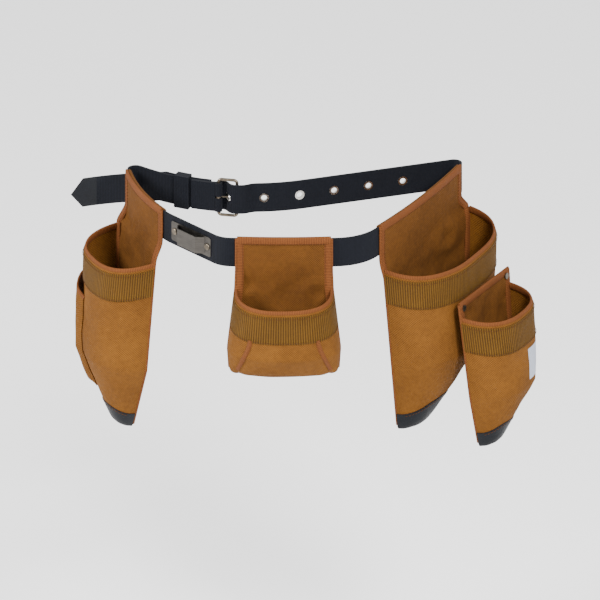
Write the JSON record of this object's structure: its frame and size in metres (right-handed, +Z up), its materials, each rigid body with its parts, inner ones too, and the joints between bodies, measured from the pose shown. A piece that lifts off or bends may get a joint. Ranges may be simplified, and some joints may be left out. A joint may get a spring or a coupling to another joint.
{
  "type": "tool belt",
  "caption": "Buckled webbing waist belt that carries sliding canvas tool pouches with bound rims, leather tips and a metal tool clip.",
  "frame": {"origin": "middle of the waist loop, halfway up the webbing", "axes": "+Z up along the wearer, -Y the way the wearer faces, +X to the right as seen from the front"},
  "size_m": [0.5724, 0.331, 0.3171],
  "materials": {
    "webbing": "woven nylon webbing",
    "canvas": "woven duck canvas",
    "binding": "ribbed grosgrain binding",
    "band": "ribbed webbing band",
    "leather": "grained leather",
    "bronze": "antique bronze plating",
    "pewter": "antique pewter, brushed",
    "nickel": "nickel plating",
    "label": "plain woven label"
  },
  "bodies": {
    "belt": {"strap_webbing": "webbing", "strap_tip": "leather", "strap_eyelets": "nickel", "clip_plate": "pewter", "clip_bridge": "pewter", "clip_rivets": "pewter"},
    "buckle": {"buckle_frame": "bronze"},
    "prong": {"buckle_prong": "bronze"},
    "keeper": {"keeper_loop": "webbing"},
    "left_hanger": {"left_tunnel": "canvas"},
    "centre_hanger": {"centre_tunnel": "canvas"},
    "right_hanger": {"right_tunnel": "canvas"},
    "left_pouch": {"left_back_panel": "canvas", "left_band": "band", "left_edge_binding": "binding", "left_front": "canvas", "left_rim_binding": "binding", "left_sleeve": "canvas", "left_tip": "leather"},
    "centre_pouch": {"centre_back_panel": "canvas", "centre_band": "band", "centre_edge_binding": "binding", "centre_front": "canvas", "centre_rim_binding": "binding"},
    "right_pouch": {"right_back_panel": "canvas", "right_band": "band", "right_edge_binding": "binding", "right_front": "canvas", "right_rim_binding": "binding", "right_tip": "leather"},
    "second_pouch": {"second_back_panel": "canvas", "second_band": "band", "second_edge_binding": "binding", "second_front": "canvas", "second_label": "label", "second_rim_binding": "binding", "second_rivets": "nickel", "second_tip": "leather"}
  },
  "joints": [
    {"name": "buckle_turn", "type": "hinge", "parent": "belt", "child": "buckle", "pos_m": [-0.09363, 0.0548, 0], "axis": [0, 0, 1], "range_deg": [0, 1.5]},
    {"name": "prong_turn", "type": "hinge", "parent": "buckle", "child": "prong", "pos_m": [-0.09363, 0.0548, 0], "axis": [0, 0, 1], "range_deg": [0, 1.5]},
    {"name": "keeper_slide", "type": "hinge", "parent": "belt", "child": "keeper", "pos_m": [-0.05351, 0.25892, 0], "axis": [0, 0, -1], "range_deg": [-0.83, 3.32]},
    {"name": "left_slide", "type": "hinge", "parent": "belt", "child": "left_hanger", "pos_m": [0.10391, 0.13836, 0], "axis": [0, 0, 1], "range_deg": [-1.1, 1.1]},
    {"name": "left_swing", "type": "hinge", "parent": "left_hanger", "child": "left_pouch", "pos_m": [-0.19123, 0.02802, -0.02245], "axis": [-0.3502, 0.9367, 0], "range_deg": [0, 35]},
    {"name": "centre_slide", "type": "hinge", "parent": "belt", "child": "centre_hanger", "pos_m": [-0.01296, 0.65807, 0], "axis": [0, 0, 1], "range_deg": [-0.6, 0.6]},
    {"name": "centre_swing", "type": "hinge", "parent": "centre_hanger", "child": "centre_pouch", "pos_m": [-0.01296, -0.1131, -0.02245], "axis": [-1, 0, 0], "range_deg": [0, 35]},
    {"name": "right_slide", "type": "hinge", "parent": "belt", "child": "right_hanger", "pos_m": [-0.75338, 0.5164, 0], "axis": [0, 0, 1], "range_deg": [-0.385, 0.385]},
    {"name": "right_swing", "type": "hinge", "parent": "right_hanger", "child": "right_pouch", "pos_m": [0.15996, 0.01012, -0.02245], "axis": [-0.4848, -0.8746, 0], "range_deg": [0, 30]},
    {"name": "second_swing", "type": "hinge", "parent": "right_pouch", "child": "second_pouch", "pos_m": [0.23257, -0.0164, -0.09624], "axis": [-0.4848, -0.8746, 0], "range_deg": [0, 20]}
  ]
}
